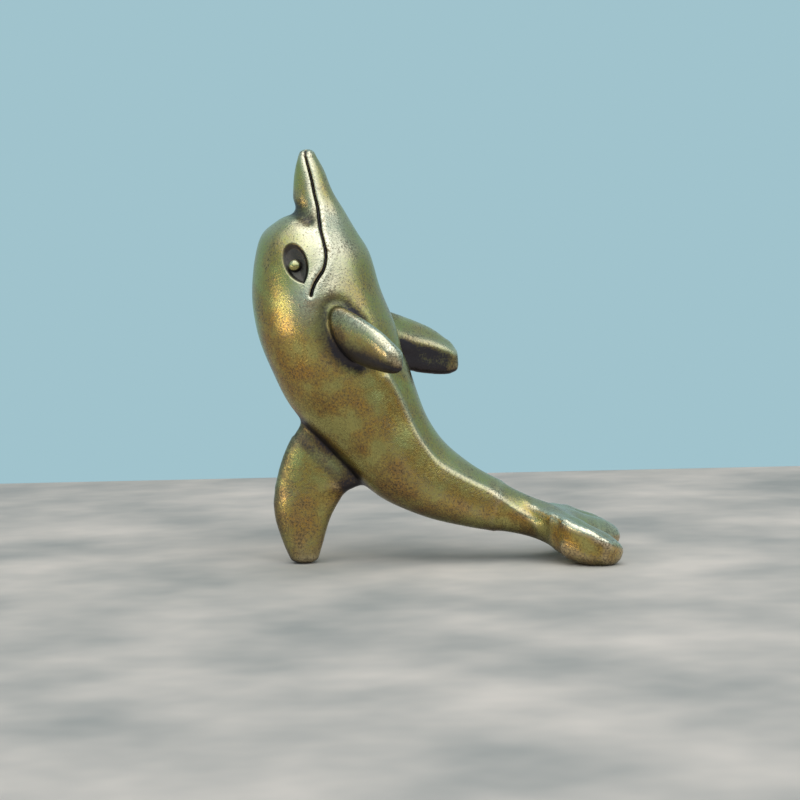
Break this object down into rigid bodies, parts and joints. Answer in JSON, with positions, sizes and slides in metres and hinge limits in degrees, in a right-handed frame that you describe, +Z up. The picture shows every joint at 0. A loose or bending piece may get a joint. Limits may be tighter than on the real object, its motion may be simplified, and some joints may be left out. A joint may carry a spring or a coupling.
{
  "type": "dolphin figurine",
  "caption": "Leaping dolphin cast in one piece, beak up, standing on its back fin and its tail lobes, with swept flippers, bead eyes and a grooved smile.",
  "frame": {"origin": "on the floor, under the middle of the bounding box", "axes": "+Z up, +X from the animal's back to its belly and on to its tail, -Y to its right side"},
  "size_m": [0.0352, 0.0194, 0.0403],
  "materials": {
    "dolphin": "cast, with a dark patina in the hollows and a dull polish on the high places"
  },
  "bodies": {
    "root": {"dolphin": "dolphin"}
  },
  "joints": []
}
